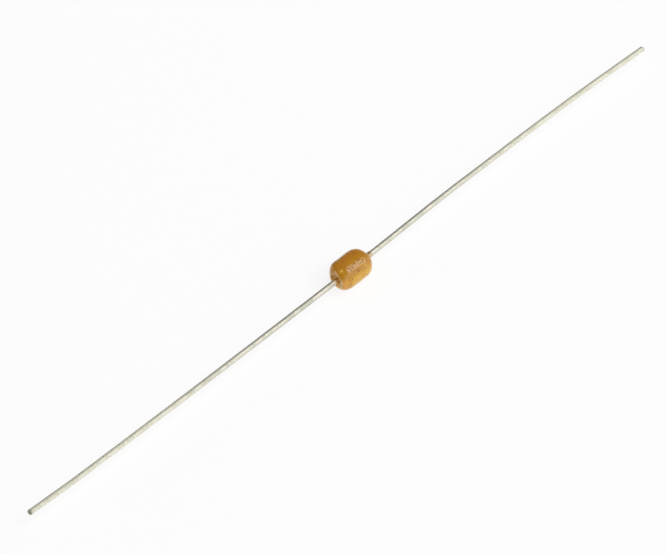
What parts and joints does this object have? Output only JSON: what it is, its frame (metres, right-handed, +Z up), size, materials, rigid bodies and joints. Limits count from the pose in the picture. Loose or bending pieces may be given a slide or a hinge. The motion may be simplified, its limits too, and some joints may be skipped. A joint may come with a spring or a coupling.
{
  "type": "axial ceramic capacitor",
  "caption": "Small ceramic capacitor with an ochre dipped epoxy coat and a long tinned wire lead out of each end, on one line.",
  "frame": {"origin": "under the middle of the coat, on the flat of the coat that it rests on", "axes": "+X along the leads towards the right lead, +Y across the coat, +Z up"},
  "size_m": [0.0802, 0.0026, 0.0025],
  "materials": {
    "epoxy": "gloss",
    "ceramic": "matte",
    "termination_metal": "satin",
    "solder": "satin",
    "tinned_wire": "satin",
    "electrode_metal": "satin"
  },
  "bodies": {
    "root": {"ceramic_chip": "ceramic", "epoxy_coat": "epoxy", "left_electrode_01": "electrode_metal", "left_electrode_02": "electrode_metal", "left_electrode_03": "electrode_metal", "left_electrode_04": "electrode_metal", "left_electrode_05": "electrode_metal", "left_electrode_06": "electrode_metal", "left_electrode_07": "electrode_metal", "left_electrode_08": "electrode_metal", "left_lead": "tinned_wire", "left_solder": "solder", "left_termination": "termination_metal", "right_electrode_01": "electrode_metal", "right_electrode_02": "electrode_metal", "right_electrode_03": "electrode_metal", "right_electrode_04": "electrode_metal", "right_electrode_05": "electrode_metal", "right_electrode_06": "electrode_metal", "right_electrode_07": "electrode_metal", "right_electrode_08": "electrode_metal", "right_lead": "tinned_wire", "right_solder": "solder", "right_termination": "termination_metal"}
  },
  "joints": []
}
